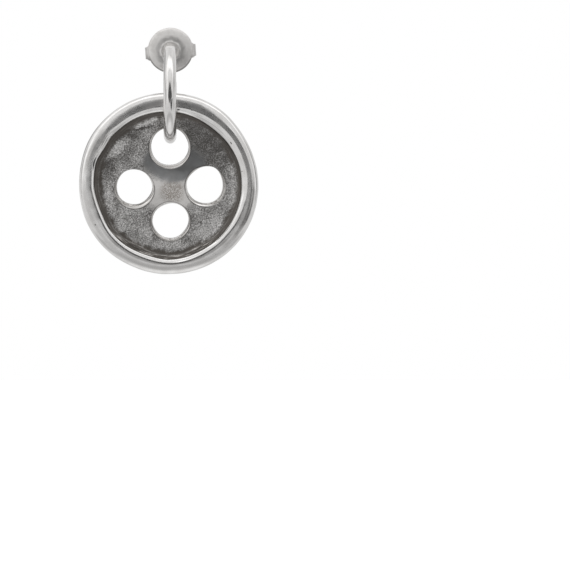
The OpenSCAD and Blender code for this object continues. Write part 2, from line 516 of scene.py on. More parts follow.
for turned in range(-90 + ARC_STEP, 1, ARC_STEP):
    stations.append(hoop_station(turned - 0.001, even=0.10 if turned < -60 else 0.30))
for turned in range(0, 144, ARC_STEP):
    stations.append(hoop_station(turned, even=0.30 if turned < 45 else 0.0))
for turned, swell in SWELL.items():
    stations.append(hoop_station(turned, swell))
for share in (1.0, 0.75, 0.52, 0.34, 0.20, 0.10, 0.04, 0.01):
    back = degrees(share * END_LENGTH / (outer_radius - WIRE_THICK * END_SWELL / 2))
    left = (1 - (1 - share) ** END_POWER) ** (1 / END_POWER)
    stations.append(hoop_station(END_TURNED - back, END_SWELL, left))
hoop = draw_tube("hoop_with_post", stations, sides=40, flats=0.12)
close_up(hoop)
print("hoop drawn through", len(stations), "rings")

# %% [markdown]
# A bent and tumbled wire is never quite even. Its front is worn flat where the photo's dark streak is
# widest: there the foremost vertices of each ring are squashed towards the front. A displace modifier with
# a soft cloud then gives the wire slow dents, which make its reflections wander. Only the hoop is dented:
# the post is drawn wire and stays true, so it is soldered on after that.

# %% The worn front and slow dents
WORN_ASIDE = 0.12
WORN_HALF = 0.76
WORN_BEFORE = -12
RING_REACH = 0.2
WORN = {-7.70: 0.95, -8.18: 0.85, -8.65: 0.70, -9.55: 0.46, -10.05: 0.55, -10.54: 0.75, -11.03: 0.90}
for ring_z, left in WORN.items():
    choose(
        hoop,
        lambda p: p.y < WORN_BEFORE
        and abs(p.x - WORN_ASIDE) < WORN_HALF
        and abs(p.z - ring_z) < RING_REACH,
    )
    front_y = min(vertex.co.y for vertex in hoop.data.vertices if vertex.select)
    bpy.ops.transform.resize(value=(1, left, 1), center_override=(0, front_y, 0))
leave_edit()
apply_modifier(hoop, "SUBSURF", levels=1, render_levels=1)
dent(hoop, size=3.4, depth=0.05, level=0.75)
apply_modifier(hoop, "BOOLEAN", operation="UNION", object=post, solver="EXACT")
bpy.data.objects.remove(post)
settle(hoop)

# %% [markdown]
# The nut is pressed from thin sheet: a dished disc with a raised boss round its hole, and behind it one
# strip whose two ends are curled into scrolls that pinch the post. The disc's section is drawn point by
# point and spun round the post. The strip's curl is drawn as a line, as it looks from above, and pulled up
# to the strip's width. Both are thin shells, so a solidify modifier makes them metal.

# %% Section helpers
SHEET = 0.28


def draw_line(name, points):
    """Draws a chain of vertices through points in mm, from a plane merged into one vertex."""
    start_clean()
    bpy.ops.mesh.primitive_plane_add(size=MM)
    chain = bpy.context.object
    chain.name = name
    edit_all()
    bpy.ops.mesh.merge(type="CENTER")
    shift(points[0])
    for before, after in zip(points, points[1:]):
        bpy.ops.mesh.extrude_vertices_move()
        shift(Vector(after) - Vector(before))
    leave_edit()
    return chain


def spin_round(piece, axis, steps):
    """Spins a drawn section into a full round about an axis through the origin."""
    take(piece)
    edit_all()
    bpy.ops.mesh.spin(steps=steps, angle=2 * pi, center=(0, 0, 0), axis=axis)
    close_up(piece)


def make_sheet(piece, edge):
    """Gives a shell the sheet's thickness, and rounds its cut edges by a width in mm."""
    apply_modifier(piece, "SOLIDIFY", thickness=SHEET * MM, offset=0.0, use_even_offset=True)
    apply_modifier(
        piece, "BEVEL", width=edge * MM, segments=2, limit_method="ANGLE", angle_limit=radians(50)
    )


# %% The nut's disc
nut_low, nut_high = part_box("ear_nut")
nut_front = nut_low.y / MM
DISC_SMALLER = 0.08
disc_radius = nut_high.z / MM - DISC_SMALLER
DISC_EDGE_BACK = 1.02
DISC_DROP = -0.25
BOSS_DROP = -0.18
BOSS_REACH = 2.6
HOLE_REACH = 0.7
BOSS = [
    (0.60, 0.60), (0.605, 0.30), (0.66, 0.16), (0.80, 0.11), (1.00, 0.16), (1.20, 0.21), (1.42, 0.19),
    (1.58, 0.12), (1.68, 0.06), (1.76, 0.03), (1.85, 0.05), (1.98, 0.10), (2.18, 0.16), (2.40, 0.20),
    (2.75, 0.285), (3.20, 0.415), (3.65, 0.565), (4.00, 0.70), (4.20, 0.80), (4.33, 0.89),
]
section = [(radius, nut_front + back + SHEET / 2, 0) for radius, back in BOSS]
section.append((disc_radius, nut_front + DISC_EDGE_BACK + SHEET / 2, 0))
disc = draw_line("nut_disc", section)
spin_round(disc, (0, 1, 0), steps=64)
choose(disc, lambda p: hypot(p.x, p.z) < BOSS_REACH)
shift((0, 0, BOSS_DROP))
bpy.ops.mesh.select_all(action="SELECT")
shift((0, 0, DISC_DROP))
choose(disc, lambda p: hypot(p.x, p.z - BOSS_DROP - DISC_DROP) < HOLE_REACH)
# The hole itself stays round the post, which isn't lowered.
soft_shift((0, 0, -0.9 * (BOSS_DROP + DISC_DROP)), reach=1.2)
leave_edit()
make_sheet(disc, edge=0.10)
apply_modifier(disc, "SUBSURF", levels=1, render_levels=1)

# %% The two scrolls
STRIP_WIDTH = 3.0
STRIP_BANDS = 4
STRIP_DROP = -0.48
EAR_TAPER = 0.78
EAR_FROM = 4.7
scroll_reach = nut_high.x / MM - SHEET / 2 - INSIDE_CAD
ROOT = {"radius": 1.05, "back": 1.95}
LOBE = {"radius": 1.95, "back": 4.2, "turn": 150}
PINCH = {"radius": 0.75, "run": 1.13}


def arc_points(centre, radius, first, last, steps):
    """Points on an arc in the XY plane, with the first left out."""
    angles = [radians(first + (last - first) * step / steps) for step in range(1, steps + 1)]
    return [(centre[0] + radius * cos(a), centre[1] + radius * sin(a)) for a in angles]


def scroll_route():
    """The strip's route seen from above: off the disc, round the lobe, and in to pinch the post."""
    root_x = scroll_reach - ROOT["radius"]
    lobe_x = scroll_reach - LOBE["radius"]
    route = [(root_x - 1.1, ROOT["back"] + 0.02), (root_x - 0.5, ROOT["back"]), (root_x, ROOT["back"])]
    route += arc_points((root_x, ROOT["back"] + ROOT["radius"]), ROOT["radius"], -90, 0, 7)
    route += arc_points((lobe_x, LOBE["back"]), LOBE["radius"], 0, LOBE["turn"], 16)
    heading = radians(LOBE["turn"] + 90)
    start = (route[-1][0] + PINCH["run"] * cos(heading), route[-1][1] + PINCH["run"] * sin(heading))
    route.append(start)
    turned = radians(LOBE["turn"])
    centre = (start[0] - PINCH["radius"] * cos(turned), start[1] - PINCH["radius"] * sin(turned))
    route += arc_points(centre, PINCH["radius"], LOBE["turn"], LOBE["turn"] + 180, 10)
    return route


scroll = draw_line("nut_scrolls", [(x, y, -STRIP_WIDTH / 2) for x, y in scroll_route()])
edit_all()
for band in range(STRIP_BANDS):
    bpy.ops.mesh.extrude_region_move()
    shift((0, 0, STRIP_WIDTH / STRIP_BANDS))
choose(scroll, lambda p: p.x > EAR_FROM)
bpy.ops.transform.resize(
    value=(1, 1, EAR_TAPER),
    center_override=(0, 0, 0),
    use_proportional_edit=True,
    proportional_edit_falloff="SMOOTH",
    proportional_size=0.6 * MM,
)
bpy.ops.mesh.select_all(action="SELECT")
shift((0, 0, STRIP_DROP))
leave_edit()
close_up(scroll)
make_sheet(scroll, edge=0.06)
apply_modifier(scroll, "MIRROR", use_axis=(True, False, False), use_mirror_merge=False)

# %% Join the nut into one pressing
NUT_TWIST = 4.2
start_clean()
scroll.select_set(True)
disc.select_set(True)
bpy.context.view_layer.objects.active = disc
bpy.ops.object.join()
nut = disc
nut.name = "butterfly_nut"
edit_all()
turn(radians(-NUT_TWIST), axis="Y")
leave_edit()
dent(nut, size=1.6, depth=0.035, level=0.5)
settle(nut, angle=50)

# %% [markdown]
# The drop is a casting in the form of a four-hole button: a rolled rim with a flat band, a lip inside it,
# and a sunken face that swells towards the middle. A spun section would be too even, because the wax model
# was pushed about by hand. So the piece grows from one ring, the crest of the lip. The ring is nudged out
# of round first, and then extruded inwards to the middle of the face and outwards over the rim to the
# back. On the way Blender's to-sphere tool evens some of the rings a little, so the unevenness fades away
# from the lip. It is built flat, with its face towards +Z, and hung on the hoop at the end.

# %% Ring helpers
SEGMENTS = 80


def apart(first, second):
    """Degrees between two directions."""
    return abs((first - second + 180) % 360 - 180)


def grow(rows, start):
    """Extrudes the selected ring through rows of (radius, height, evening), from (radius, height)."""
    for radius, height, evening in rows:
        bpy.ops.mesh.extrude_region_move()
        ratio = radius / start[0]
        bpy.ops.transform.resize(value=(ratio, ratio, 1), center_override=(0, 0, 0))
        shift((0, 0, height - start[1]))
        if evening:
            bpy.ops.transform.tosphere(value=evening, center_override=(0, 0, height * MM))
        start = (radius, height)
    return start


def nudge_ring(piece, nudges):
    """Pushes stretches of the selected ring by (angle, distance outwards, reach), and selects it again."""
    bpy.ops.mesh.hide(unselected=True)
    for at, out, reach in nudges:
        choose(piece, lambda p: apart(degrees(atan2(p.y, p.x)), at) < 0.6 * 360 / SEGMENTS)
        soft_shift((cos(radians(at)) * out, sin(radians(at)) * out, 0), reach)
    bpy.ops.mesh.select_all(action="SELECT")
    bpy.ops.mesh.reveal(select=False)


def cap_ring():
    """Closes the selected ring with a fan to its middle."""
    bpy.ops.mesh.extrude_region_move()
    bpy.ops.mesh.merge(type="CENTER")


# %% The lip's crest
CREST = (15.78, 1.66)
LIP_NUDGES = [
    (80, -0.12, 14.0), (141, 0.34, 2.4), (163, 0.50, 3.4), (200, -0.42, 6.0), (241, 0.06, 4.0),
    (276, 0.36, 8.5), (318, -0.10, 4.0), (2, 0.16, 6.0),
]
start_clean()
bpy.ops.mesh.primitive_circle_add(
    vertices=SEGMENTS, radius=CREST[0] * MM, fill_type="NOTHING", location=(0, 0, CREST[1] * MM)
)
button = bpy.context.object
button.name = "button_drop_cast"
bpy.ops.object.transform_apply(location=True, rotation=True, scale=True)
edit_all()
nudge_ring(button, LIP_NUDGES)
print("lip nudged in", len(LIP_NUDGES), "places")

# %% Inwards, down the wall and over the face
LIP_INSIDE = [
    (15.66, 1.652, 0.0), (15.53, 1.632, 0.0), (15.41, 1.60, 0.0), (15.28, 1.54, 0.05), (15.13, 1.45, 0.0),
    (14.98, 1.35, 0.0), (14.86, 1.24, 0.0), (14.78, 1.11, 0.0), (14.72, 0.96, 0.0),
]
INNER_NUDGES = [
    (48, -0.30, 9.0), (163, -0.12, 3.2), (141, -0.10, 2.4), (150, -0.20, 8.5), (250, -0.08, 6.0),
    (0, -0.12, 5.0), (320, 0.12, 5.0),
]
WALL_TOP = [(14.60, 0.80, 0.0), (14.40, 0.66, 0.05)]
WALL_FOOT = [(14.14, 0.50, 0.05), (13.80, 0.33, 0.1), (13.35, 0.16, 0.1), (12.80, 0.09, 0.2)]
FACE = [
    (12.00, 0.10, 0.3), (10.90, 0.16, 0.5), (9.60, 0.26, 0.7), (8.20, 0.37, 1.0), (6.80, 0.46, 0.0),
    (5.40, 0.53, 0.0), (4.00, 0.58, 0.0), (2.60, 0.61, 0.0), (1.20, 0.62, 0.0),
]
WALL_FOLDS = [(241, -0.42, 4.0), (296, -0.36, 3.4), (205, -0.24, 3.0), (330, -0.20, 3.0), (118, -0.25, 3.0)]
INSIDE_SHIFT = (-0.22, -0.10, 0)
INSIDE_TILT = 0.26
reached = grow(LIP_INSIDE[:4], CREST)
shift(INSIDE_SHIFT)
turn(radians(INSIDE_TILT), axis="X", centre=(0, 0, reached[1] * MM))
reached = grow(LIP_INSIDE[4:6], reached)
nudge_ring(button, INNER_NUDGES)
reached = grow(LIP_INSIDE[6:], reached)
reached = grow(WALL_TOP, reached)
nudge_ring(button, WALL_FOLDS)
reached = grow(WALL_FOOT, reached)
grow(FACE, reached)
cap_ring()

# %% Outwards, over the band and the roll to the back
BAND = [
    (15.95, 1.65, 0.1), (16.20, 1.632, 0.2), (16.47, 1.60, 0.3), (16.76, 1.545, 0.5), (17.08, 1.455, 1.0),
]
ROLL = [
    (17.36, 1.355, 0.0), (17.60, 1.24, 0.0), (17.80, 1.11, 0.0), (17.98, 0.935, 0.0), (18.11, 0.73, 0.0),
    (18.21, 0.49, 0.0), (18.27, 0.21, 0.0), (18.28, -0.09, 0.0), (18.23, -0.42, 0.0), (18.08, -0.78, 0.1),
    (17.80, -1.12, 0.1), (17.38, -1.41, 0.2), (16.80, -1.59, 0.2), (16.10, -1.62, 0.2), (15.40, -1.47, 0.2),
    (14.80, -1.19, 0.2), (14.20, -0.96, 0.2), (13.40, -0.88, 0.3), (12.00, -0.87, 1.0), (9.50, -0.87, 0.0),
    (6.50, -0.87, 0.0), (3.50, -0.87, 0.0), (1.00, -0.87, 0.0),
]
RIM_NUDGES = [(28, -0.46, 13.0), (0, -0.14, 8.0), (180, -0.34, 11.0), (340, -0.12, 9.0)]
bpy.ops.mesh.select_all(action="DESELECT")
bpy.ops.mesh.select_non_manifold()
reached = grow(BAND, CREST)
nudge_ring(button, RIM_NUDGES)
grow(ROLL, reached)
cap_ring()
leave_edit()
close_up(button)
apply_modifier(button, "SUBSURF", levels=2, render_levels=2)
SWELLING_PLACE = (0.9, 2.6)
SWELLING_UP = 0.32
choose(button, lambda p: p.z > 0.3 and hypot(p.x - SWELLING_PLACE[0], p.y - SWELLING_PLACE[1]) < 0.5)
soft_shift((0, 0, SWELLING_UP), reach=8.0, connected=True)
leave_edit()
print("button has", len(button.data.polygons), "faces before its holes")

# %% [markdown]
# The holes are cut with one boolean. Each cutter is a spun section that flares at both ends, so the cut
# leaves a rounded edge instead of a sharp one. The face slopes away from the middle, so its height is
# measured with rays round each hole, and the front flare of the cutter leans as the face does there. The
# flare also slides downwards as it opens: on the casting the lower edges are rubbed widest. Real cast holes
# aren't true circles either, so each cutter gets a few nudges.

# %% Cut the holes
HOLES = {
    "top": {
        "place": (0.26, 7.47),
        "radius": 3.72,
        "slide": (-0.03, -0.16),
        "nudges": ((25, -0.08), (230, 0.12)),
    },
    "right": {
        "place": (7.24, -0.31),
        "radius": 3.62,
        "slide": (0.10, -0.24),
        "nudges": ((58, 0.30), (5, -0.10), (128, -0.22), (305, 0.10)),
    },
    "bottom": {
        "place": (0.38, -7.48),
        "radius": 3.52,
        "slide": (-0.05, -0.14),
        "nudges": ((320, -0.14), (30, 0.10), (108, -0.16), (180, 0.08)),
    },
    "left": {
        "place": (-6.84, -0.66),
        "radius": 3.51,
        "slide": (0.0, -0.42),
        "nudges": ((315, -0.10), (225, 0.10), (120, 0.12), (30, -0.08)),
    },
}
BACK_EDGE = [(0.00, -1.60), (1.10, -1.60), (0.34, -0.93), (0.14, -0.84), (0.03, -0.70), (0.00, -0.52)]
FRONT_EDGE = [
    (0.04, -0.62), (0.08, -0.52), (0.13, -0.41), (0.19, -0.31), (0.26, -0.22), (0.34, -0.13), (0.43, -0.06),
    (0.53, 0.00), (1.60, 0.58),
]
FLARE = FRONT_EDGE[-2][0]
NUDGE_REACH = 2.8
BESIDE_HOLE = 0.5


def face_height(x, y):
    """The height of the front face above a place, in mm, found with a ray."""
    found = button.ray_cast(Vector((x, y, 10)) * MM, Vector((0, 0, -1)))
    return found[1].z / MM


cutters = []
for name, hole in HOLES.items():
    x, y = hole["place"]
    edge_at = hole["radius"] + BESIDE_HOLE
    across = (face_height(x - edge_at, y), face_height(x + edge_at, y))
    along = (face_height(x, y - edge_at), face_height(x, y + edge_at))
    face = (sum(across) + sum(along)) / 4
    tilt_x = atan2(along[1] - along[0], 2 * edge_at)
    tilt_y = atan2(across[0] - across[1], 2 * edge_at)
    outline = [(0, 0, BACK_EDGE[0][1])]
    outline += [(hole["radius"] + wider, 0, height) for wider, height in BACK_EDGE[1:]]
    outline += [(hole["radius"] + wider, 0, face + height) for wider, height in FRONT_EDGE]
    outline.append((0, 0, face + FRONT_EDGE[-1][1]))
    cutter = draw_line("cutter_" + name, outline)
    spin_round(cutter, (0, 0, 1), steps=72)
    edit_all()
    nudge_ring(cutter, [(at, out, NUDGE_REACH) for at, out in hole["nudges"]])
    slide = Vector((*hole["slide"], 0)) / (len(FRONT_EDGE) - 1)
    for wider, height in FRONT_EDGE[:-1]:
        choose(cutter, lambda p: p.z > face + height - 0.01)
        shift(slide)
    lower_edge = face + FRONT_EDGE[0][1] - 0.01
    choose(cutter, lambda p: p.z > lower_edge)
    turn(tilt_x, axis="X", centre=(0, 0, face * MM))
    turn(tilt_y, axis="Y", centre=(0, 0, face * MM))
    bpy.ops.mesh.select_all(action="SELECT")
    shift((*hole["place"], 0))
    leave_edit()
    cutters.append(cutter)
    print(name, "hole: the face is at", round(face, 2), "mm")
start_clean()
for cutter in cutters:
    cutter.select_set(True)
bpy.context.view_layer.objects.active = cutters[0]
bpy.ops.object.join()
drill = cutters[0]
apply_modifier(button, "BOOLEAN", operation="DIFFERENCE", object=drill, solver="EXACT")
bpy.data.objects.remove(drill)
print("button has", len(button.data.vertices), "vertices after its holes")

# %% [markdown]
# The plating is rubbed bright on what stands proud and left dark in what is sunken. Two masks painted on
# the vertices say where that is, so they follow the uneven lip exactly. One is 1 in the whole recess and
# 0 on the rim. The other is 0 on the face and 1 on the wall round it. It is 1 on the rim too, where the
# first mask hides it.

# %% Mark what is sunken
RECESS_RADIUS = 15.6
RECESS_EDGE = (0.95, 1.20)
WALL_RADIUS = 12.2
WALL_EDGE = (0.30, 0.55)
BACK_UNDER = -0.2
BACK_RADIUS = 15.2
BACK_SUNKEN = 0.35


def rise(value, low, high):
    """A soft step from 0 at low to 1 at high."""
    share = min(1.0, max(0.0, (value - low) / (high - low)))
    return share * share * (3 - 2 * share)


def sunken_at(place):
    """How far a point in mm is sunken: 0 on the rim, 1 in the recess, and a little on the hollow back."""
    radius = hypot(place.x, place.y)
    if place.z < BACK_UNDER:
        return BACK_SUNKEN if radius < BACK_RADIUS else 0.0
    return 1 - rise(place.z, *RECESS_EDGE) if radius < RECESS_RADIUS else 0.0


def wall_at(place):
    """How far up the foot of the wall a point in mm lies: 0 on the face, 1 on the wall and beyond."""
    return rise(place.z, *WALL_EDGE) if hypot(place.x, place.y) > WALL_RADIUS else 0.0


for name, measure in (("sunken", sunken_at), ("wall", wall_at)):
    mask = button.data.attributes.new(name, "FLOAT", "POINT")
    for vertex in button.data.vertices:
        mask.data[vertex.index].value = measure(vertex.co / MM)

# %% Dents of the casting
dent(button, size=5.0, depth=0.12, level=0.6)

# %% [markdown]
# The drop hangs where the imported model's hinge says. The hinge's axis is the wire's direction there, and
# the drop leans with it. The upper edge of the top hole rests on the wire, so the middle of the hole lies
# just under the hinge.

# %% Hang the button
HOLE_UNDER_HINGE = 1.95
TOP_HOLE = (0.30, 7.65)
swing = next(joint for joint in frame["joints"] if joint["name"] == "drop_swing")
lean = atan2(swing["axis"][2], swing["axis"][1])
down = Vector((0, sin(lean), -cos(lean)))
button_centre = Vector(swing["pos_m"]) + down * (HOLE_UNDER_HINGE + TOP_HOLE[1]) * MM
button_centre -= Vector((TOP_HOLE[0] * MM, 0, 0))
button.rotation_euler = (pi / 2 + lean, 0, 0)
button.location = button_centre
settle(button, angle=22)
print("button leans", round(degrees(lean), 1), "degrees")

# %% [markdown]
# Three finishes cover the earring, and they share their effects. The first is the skin of tumbled and
# polished metal: cloudy wear, fine scratches both ways, and a few casting pits. The second is the
# granular dark coat of the sunken face. The third is a patch with a frayed edge, for a place that is rubbed
# or stained, and for painted reflections and painted shade. Each effect is a node group that gives masks
# only. The shader stays in each material.

# %% Group helpers
def new_group(name, inputs, outputs):
    """Makes a shader group with named sockets, and returns it with its two end nodes."""
    group = bpy.data.node_groups.new(name, "ShaderNodeTree")
    for label, kind, value in inputs:
        socket = group.interface.new_socket(label, in_out="INPUT", socket_type="NodeSocket" + kind)
        socket.default_value = value
    for label in outputs:
        group.interface.new_socket(label, in_out="OUTPUT", socket_type="NodeSocketFloat")
    return group, group.nodes.new("NodeGroupInput").outputs, group.nodes.new("NodeGroupOutput").inputs


def use_group(tree, group, sockets):
    """Places a group in a material with its own values, and returns what it puts out."""
    return node(tree, "Group", sockets, node_tree=group).outputs


def noise(tree, place, scale, detail, roughness=0.5, **settings):
    """A cloudy pattern between 0 and 1."""
    sockets = {"Vector": place, "Scale": scale, "Detail": detail, "Roughness": roughness}
    return node(tree, "TexNoise", sockets | settings).outputs


def vector_calc(tree, operation, first, second=(0, 0, 0)):
    """One step of arithmetic on places. A length or a distance comes out as a value."""
    sockets = {0: first, "Scale" if operation == "SCALE" else 1: second}
    made = node(tree, "VectorMath", sockets, operation=operation)
    return made.outputs["Value" if operation in ("LENGTH", "DISTANCE") else 0]


# %% The skin of polished metal
skin, given, out = new_group(
    "polished_skin",
    [
        ("Place", "Vector", (0, 0, 0)),
        ("Cloud size", "Float", 0.5),
        ("Scratch count", "Float", 1.0),
        ("Pit share", "Float", 0.03),
    ],
    ["Cloud", "Scratches", "Pits"],
)


def scratch_lines(turned, stretch):
    """Fine lines along one direction: a noise that is stretched far more one way than the other."""
    laid = node(skin, "Mapping", {"Vector": given["Place"], "Rotation": turned, "Scale": stretch})
    return noise(skin, laid.outputs[0], 1.0, 1.5, 0.6)["Fac"]


cloud = noise(skin, given["Place"], given["Cloud size"], 5.0, 0.62)["Fac"]
upright_lines = ramp(skin, scratch_lines((0.3, 0.5, 0.2), (14.0, 0.7, 14.0)), 0.60, 0.72)
level_lines = ramp(skin, scratch_lines((1.1, -0.4, 1.3), (0.8, 15.0, 12.0)), 0.62, 0.74)
lines = times(skin, larger(skin, upright_lines, level_lines), given["Scratch count"])
cells = node(skin, "TexVoronoi", {"Vector": given["Place"], "Scale": 0.75, "Randomness": 1.0}).outputs
pick = node(skin, "SeparateXYZ", {0: cells["Color"]}).outputs["X"]
picked = calc(skin, "LESS_THAN", pick, given["Pit share"])
pits = times(skin, ramp(skin, cells["Distance"], 0.16, 0.05), picked)
skin.links.new(ramp(skin, cloud, 0.35, 0.68), out["Cloud"])
skin.links.new(lines, out["Scratches"])
skin.links.new(pits, out["Pits"])
print("group:", skin.name)

# %% The granular coat
coat, given, out = new_group(
    "granular_coat",
    [("Place", "Vector", (0, 0, 0)), ("Grain size", "Float", 3.0), ("Patch size", "Float", 0.3)],
    ["Grain", "Fine", "Patches"],
)
grain = noise(coat, given["Place"], given["Grain size"], 2.5, 0.75)["Fac"]
fine = noise(coat, given["Place"], times(coat, given["Grain size"], 0.8), 2.0)["Fac"]
patches = noise(coat, given["Place"], given["Patch size"], 3.0, 0.55, Distortion=0.8)["Fac"]
coat.links.new(ramp(coat, grain, 0.34, 0.66), out["Grain"])
coat.links.new(ramp(coat, fine, 0.32, 0.68), out["Fine"])
coat.links.new(ramp(coat, patches, 0.36, 0.66), out["Patches"])
print("group:", coat.name)

# %% An oval patch with a frayed edge
oval, given, out = new_group(
    "wear_and_painted_light_patch",
    [
        ("Place", "Vector", (0, 0, 0)),
        ("Middle", "Vector", (0, 0, 0)),
        ("Size", "Vector", (1, 1, 1)),
        ("Turned", "Float", 0.0),
        ("Fray", "Float", 3.0),
    ],
    ["Mask"],
)
fray = noise(oval, given["Place"], 0.9, 4.0, 0.65)["Color"]
fray = vector_calc(oval, "SUBTRACT", fray, (0.5, 0.5, 0.5))
fray = vector_calc(oval, "SCALE", fray, given["Fray"])
spot = vector_calc(oval, "ADD", given["Place"], fray)
spot = vector_calc(oval, "SUBTRACT", spot, given["Middle"])
unturned = times(oval, given["Turned"], -1.0)
spot = node(oval, "VectorRotate", {"Vector": spot, "Angle": unturned}, rotation_type="Z_AXIS").outputs[0]
spot = vector_calc(oval, "DIVIDE", spot, given["Size"])
spot = vector_calc(oval, "MULTIPLY", spot, (1, 1, 0))
oval.links.new(ramp(oval, vector_calc(oval, "LENGTH", spot), 1.15, 0.45), out["Mask"])
print("group:", oval.name)


# %% Material helpers
def new_metal(name, place=(0, 0, 0), turned=(0, 0, 0)):
    """A metal whose patterns are read in mm, from a frame with its own place and turn."""
    metal = bpy.data.materials.new(name)
    metal.use_nodes = True
    tree = metal.node_tree
    seen = node(tree, "TexCoord").outputs["Object"]
    frame_of_piece = {"Vector": seen, "Location": place, "Rotation": turned, "Scale": (MM, MM, MM)}
    mapped = node(tree, "Mapping", frame_of_piece, vector_type="TEXTURE")
    return metal, tree, mapped.outputs[0]


def give_metal(piece, metal, colour, rough, height, depth):
    """Feeds the metal's shader, with height times depth in mm, and gives the metal to a piece."""
    tree = metal.node_tree
    shader = tree.nodes["Principled BSDF"]
    shader.inputs["Metallic"].default_value = 1.0
    bump = node(tree, "Bump", {"Height": height, "Distance": depth * MM, "Strength": 1.0})
    for name, look in (("Base Color", colour), ("Roughness", rough), ("Normal", bump.outputs[0])):
        tree.links.new(look, shader.inputs[name])
    piece.data.materials.append(metal)
    print(piece.name, "has", metal.name)


# %% [markdown]
# The hoop is the brightest piece: polished plate with hardly any tarnish. Its roughness wanders with the
# cloudy wear, and the scratches are rougher still.

# %% Polished plate on the hoop
PLATE = (grey(0.86, 0.012), grey(0.80, 0.02))
PIT = grey(0.25, 0.06)
plate, tree, place = new_metal("polished_plate")
worn = use_group(tree, skin, {"Place": place, "Cloud size": 0.45, "Scratch count": 0.8, "Pit share": 0.02})
colour = blend(tree, worn["Cloud"], *PLATE)
colour = blend(tree, worn["Pits"], colour, PIT)
rough = add(tree, ramp(tree, worn["Cloud"], 0, 1, 0.13, 0.21), times(tree, worn["Scratches"], 0.10))
height = add(tree, times(tree, worn["Scratches"], -0.12), times(tree, worn["Pits"], -1.0))
give_metal(hoop, plate, colour, rough, height, 0.02)

# %% [markdown]
# The nut is plain pressed sheet, never polished. Tumbling left it satin, so its reflections are wide and
# soft, and slightly darker than the hoop's. Tarnish gives it age: it has stayed in the hollow round the
# boss, heavier on one side than on the other. The sheared edge of the disc gets painted shade where it
# faces down, for the dark it reflects there. Both are rings about the boss or the disc, so they are made
# from the distance to its middle.

# %% Satin sheet on the nut
SHEET_TONES = (grey(0.75, 0.02), grey(0.67, 0.025))
TARNISH = grey(0.46, 0.02)
# Painted shade for the disc's cut edge where it faces down.
EDGE_SHADE = grey(0.30, 0.03)
HOLLOW = (1.85, 2.25, 2.45, 3.20)
EARS_BEHIND = 2.5


def from_post(drop):
    """Where a place lies about an axis that runs under the post: across and upwards, with no depth."""
    return vector_calc(tree, "MULTIPLY", vector_calc(tree, "SUBTRACT", place, (0, 0, drop)), (1, 0, 1))


satin, tree, place = new_metal("satin_sheet")
worn = use_group(tree, skin, {"Place": place, "Cloud size": 0.9, "Scratch count": 1.0, "Pit share": 0.01})
boss_place = from_post(BOSS_DROP + DISC_DROP)
wander = times(tree, calc(tree, "SUBTRACT", worn["Cloud"], 0.5), 0.5)
from_boss = add(tree, vector_calc(tree, "LENGTH", boss_place), wander)
heavy = ramp(tree, noise(tree, boss_place, 0.33, 1.0)["Fac"], 0.40, 0.60, 0.55, 1.00)
hollow = times(tree, between(tree, from_boss, *HOLLOW), heavy)
disc_place = from_post(DISC_DROP)
from_disc = vector_calc(tree, "LENGTH", disc_place)
facing_down = ramp(tree, node(tree, "SeparateXYZ", {0: disc_place}).outputs["Z"], -0.6, -2.2, 0.0, 0.9)
# Painted shade: the disc's cut edge is darkened where it faces down, for the dark it reflects there.
painted_edge_shade = times(tree, ramp(tree, from_disc, disc_radius - 0.22, disc_radius - 0.08), facing_down)
depth = node(tree, "SeparateXYZ", {0: place}).outputs["Y"]
painted_edge_shade = times(tree, painted_edge_shade, ramp(tree, depth, EARS_BEHIND + 0.3, EARS_BEHIND))
colour = blend(tree, worn["Cloud"], *SHEET_TONES)
colour = blend(tree, hollow, colour, TARNISH)
colour = blend(tree, painted_edge_shade, colour, EDGE_SHADE)
rough = ramp(tree, worn["Cloud"], 0, 1, 0.40, 0.50)
give_metal(nut, satin, colour, rough, times(tree, worn["Scratches"], -1.0), 0.003)

# %% [markdown]
# The drop has both finishes in one casting, and the sunken mask chooses between the rubbed rim and the
# dark granular face. The face is built in layers, each over the last. First comes the grain, which stands
# out bright where polishing reached it, and is painted lighter towards the bottom as a painted reflection
# of the pale light below. The patches below lighten it where it is rubbed and darken it where the coat
# stayed dark, and the wide dark one at the upper right is a painted dark reflection: they are ovals in
# the button's own frame, in mm, with a middle, a size, a turn in degrees and a strength. Then come the
# bare middle with its stain, and a painted dark reflection on the smooth area under the top hole.

# %% Places on the casting
# Rubbed and dark patches of the grain; the wide dark one at the upper right is a painted dark reflection.
RUB_COAT_AND_REFLECTION_PATCHES = [
    ((-10.0, 7.3), (2.9, 1.1), 37, 0.52), ((-4.7, 12.2), (3.8, 0.6), 22, 0.66),
    ((-4.9, 9.3), (1.8, 2.8), -15, 0.28), ((-12.0, -2.7), (1.1, 3.4), 10, 0.46),
    ((-8.6, -7.6), (3.4, 2.2), -45, 0.22), ((8.5, -8.4), (3.4, 2.0), 46, 0.42),
    ((12.3, 0.2), (1.1, 5.2), 3, 0.16), ((0.4, -12.2), (6.0, 0.9), 0, 0.25),
    ((-5.1, 11.1), (1.9, 0.3), 12, -0.60), ((-6.8, 10.2), (2.1, 1.5), 25, -0.34),
    ((-12.2, 3.6), (1.6, 2.3), 20, -0.26), ((-10.2, 9.5), (2.7, 0.9), 40, -0.56),
    ((7.4, 8.2), (6.4, 5.0), -40, -0.34), ((5.0, -4.9), (1.7, 1.5), 0, 0.30),
    ((-7.2, -5.0), (3.8, 1.4), 0, 0.22), ((-9.5, 2.6), (1.4, 1.6), 0, 0.24),
    ((-5.2, 5.8), (2.2, 1.9), 0, 0.24), ((-4.6, -9.8), (1.6, 1.6), 0, 0.26),
    ((5.0, -10.3), (1.6, 1.8), 0, 0.28), ((11.3, -8.0), (4.0, 0.9), 54, -0.50),
    ((-12.3, -5.7), (1.9, 0.8), -65, -0.40), ((5.0, 12.1), (3.0, 0.9), -22, -0.30),
]
